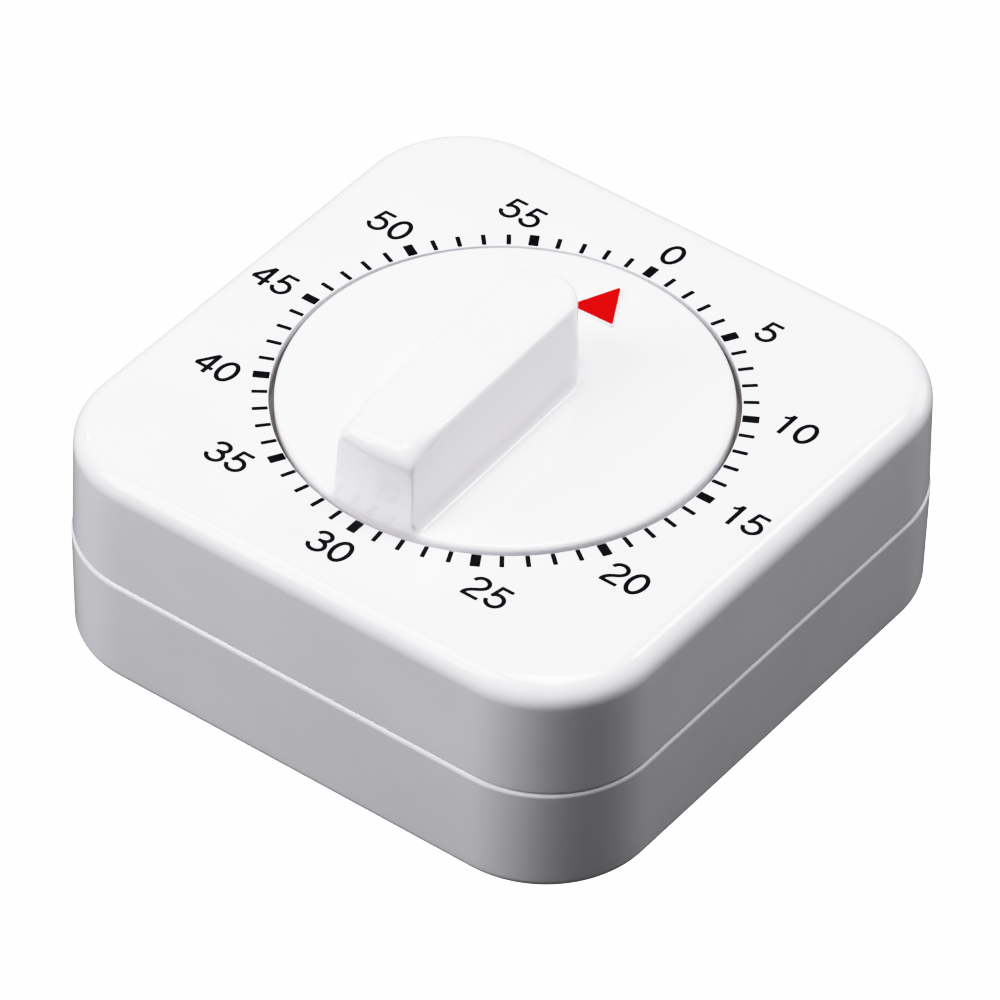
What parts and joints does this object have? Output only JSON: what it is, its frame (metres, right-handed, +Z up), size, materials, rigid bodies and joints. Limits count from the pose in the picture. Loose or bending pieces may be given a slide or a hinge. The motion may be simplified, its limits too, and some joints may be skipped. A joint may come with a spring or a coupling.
{
  "type": "wind-up lab timer",
  "caption": "Square white wind-up minute timer with a sunk dial, straight grip bar, raised pointer, and a spring-driven movement that rings a bell.",
  "frame": {"origin": "centre of the flat base", "axes": "+Z up, +Y towards the 0 mark of the scale, +X towards the 15 minute mark"},
  "size_m": [0.0702, 0.0702, 0.0372],
  "materials": {
    "white_shell": "glossy moulded white plastic",
    "white_dial": "glossy moulded white plastic",
    "pointer_red": "gloss red paint on the pointer",
    "scale_ink": "printed black ink",
    "steel": "turned steel",
    "spring_steel": "blued spring steel",
    "bell_steel": "nickel plated",
    "brass": "cut brass",
    "plate_brass": "pressed brass sheet"
  },
  "bodies": {
    "case": {"upper_case": "white_shell", "lower_case": "white_shell", "case_screws": "steel", "top_plate": "plate_brass", "bottom_plate": "plate_brass", "plate_pillars": "brass", "pillar_screws": "steel", "movement_screws": "steel", "main_bush": "brass", "spring_anchor": "steel", "bell": "bell_steel", "bell_screw": "steel", "hammer_spring": "spring_steel", "mainspring": "spring_steel"},
    "dial": {"dial_knob": "white_dial", "main_arbor": "steel", "ratchet_wheel": "steel", "wheel_clip": "spring_steel", "release_cam": "brass"},
    "main_wheel_group": {"main_wheel": "brass", "click_stud": "steel", "click_spring": "spring_steel"},
    "click_group": {"click": "steel"},
    "second_train": {"second_pinion": "steel", "second_wheel": "brass"},
    "third_train": {"third_pinion": "steel", "third_wheel": "brass"},
    "escape_train": {"escape_pinion": "steel", "escape_wheel": "brass"},
    "pallet_group": {"pallet_arbor": "steel", "pallet_lever": "brass", "pallet_pins": "steel"},
    "alarm_train": {"alarm_pinion": "steel", "alarm_wheel": "steel"},
    "hammer_group": {"hammer_arbor": "steel", "hammer_tail": "steel", "hammer_lever": "steel", "hammer_head": "brass"},
    "release_group": {"release_arbor": "steel", "release_lever": "steel"}
  },
  "joints": [
    {"name": "dial_turn", "type": "hinge", "parent": "case", "child": "dial", "pos_m": [0, 0, 0.025], "axis": [0, 0, -1], "range_deg": [0, 352.2], "deforming": ["mainspring"]},
    {"name": "main_wheel_turn", "type": "hinge", "parent": "case", "child": "main_wheel_group", "pos_m": [0, 0, 0.0154], "axis": [0, 0, -1], "range_deg": [0, 352.2]},
    {"name": "click_lift", "type": "hinge", "parent": "main_wheel_group", "child": "click_group", "pos_m": [0.0095, 0, 0.0144], "axis": [0, 0, -1], "range_deg": [0, 8]},
    {"name": "second_arbor_turn", "type": "hinge", "parent": "case", "child": "second_train", "pos_m": [-0.01644, 0.00599, 0.0169], "axis": [0, 0, -1], "continuous": true},
    {"name": "third_arbor_turn", "type": "hinge", "parent": "case", "child": "third_train", "pos_m": [-0.01084, 0.01568, 0.0181], "axis": [0, 0, -1], "continuous": true},
    {"name": "escape_arbor_turn", "type": "hinge", "parent": "case", "child": "escape_train", "pos_m": [-0.00076, 0.01896, 0.0119], "axis": [0, 0, -1], "continuous": true},
    {"name": "alarm_arbor_turn", "type": "hinge", "parent": "case", "child": "alarm_train", "pos_m": [-0.01004, -0.01434, 0.0113], "axis": [0, 0, -1], "continuous": true},
    {"name": "pallet_rock", "type": "hinge", "parent": "case", "child": "pallet_group", "pos_m": [0.00579, 0.01816, 0.0129], "axis": [0, 0, 1], "range_deg": [-3, 3]},
    {"name": "hammer_swing", "type": "hinge", "parent": "case", "child": "hammer_group", "pos_m": [0.00865, -0.01498, 0.0113], "axis": [0, 0, 1], "range_deg": [-8, 0]},
    {"name": "release_drop", "type": "hinge", "parent": "case", "child": "release_group", "pos_m": [0.01316, -0.00479, 0.0179], "axis": [0, 0, 1], "range_deg": [-4.5, 0]}
  ],
  "couplings": [
    {"joint": "main_wheel_turn", "follows": "dial_turn", "ratio": 1},
    {"joint": "second_arbor_turn", "follows": "dial_turn", "ratio": -6},
    {"joint": "third_arbor_turn", "follows": "dial_turn", "ratio": 36},
    {"joint": "escape_arbor_turn", "follows": "dial_turn", "ratio": -202.5},
    {"joint": "alarm_arbor_turn", "follows": "dial_turn", "ratio": -6}
  ]
}
